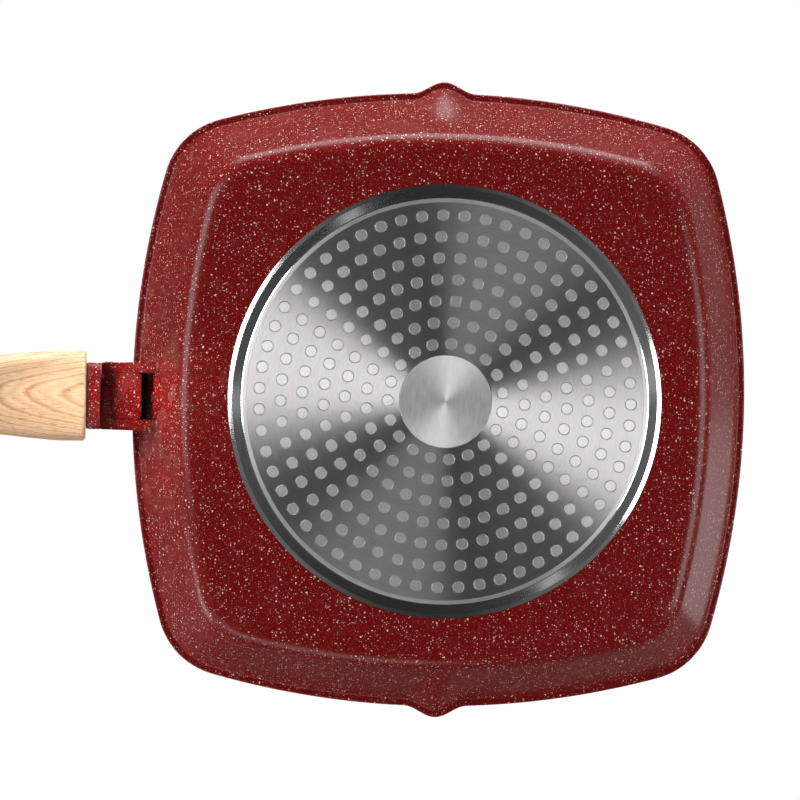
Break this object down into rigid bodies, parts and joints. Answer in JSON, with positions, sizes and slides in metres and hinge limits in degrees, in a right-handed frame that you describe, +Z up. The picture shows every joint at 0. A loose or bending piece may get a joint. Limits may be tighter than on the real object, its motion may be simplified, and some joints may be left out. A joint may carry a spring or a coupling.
{
  "type": "square grill pan",
  "caption": "Square ridged grill pan with bowed sides, pouring lips, an induction base and a folding wooden handle with a sliding thumb catch.",
  "frame": {"origin": "centre of the round foot, on the surface that the pan stands on", "axes": "+Z up towards the cooking side, handle along -X, pouring lips at +Y and -Y"},
  "size_m": [0.48, 0.29, 0.045],
  "materials": {
    "coating": "cast, in a deep red stone-look non-stick coating, semi-gloss",
    "disc_steel": "spun and brushed",
    "pin_steel": "plain",
    "washer_steel": "plain",
    "gasket": "matt silicone",
    "wood": "oiled ash",
    "plated_steel": "nickel plated",
    "black_steel": "oil blackened"
  },
  "bodies": {
    "pan": {"pan_body": "coating", "induction_disc": "disc_steel", "hinge_pin": "pin_steel", "hinge_washers": "washer_steel", "slide_plate": "black_steel", "lock_guide_rod": "black_steel"},
    "handle": {"handle_ferrule": "coating", "ferrule_gasket": "gasket", "ferrule_dowels": "pin_steel", "handle_grip": "wood", "tie_rod": "pin_steel", "end_washer": "washer_steel", "rod_lock_washer": "washer_steel", "hanging_eye": "plated_steel"},
    "lock": {"lock_slide": "coating", "lock_catch": "coating", "catch_screw": "plated_steel", "lock_spring": "black_steel"}
  },
  "joints": [
    {"name": "handle_fold", "type": "hinge", "parent": "pan", "child": "handle", "pos_m": [-0.1507, 0, 0.042], "axis": [0, 1, 0], "range_deg": [0, 175]},
    {"name": "lock_slide", "type": "slide", "parent": "pan", "child": "lock", "axis": [1, 0, 0], "range_m": [0, 0.0041], "stiffness_N_per_m": 600, "deforming": ["lock_spring"]}
  ]
}
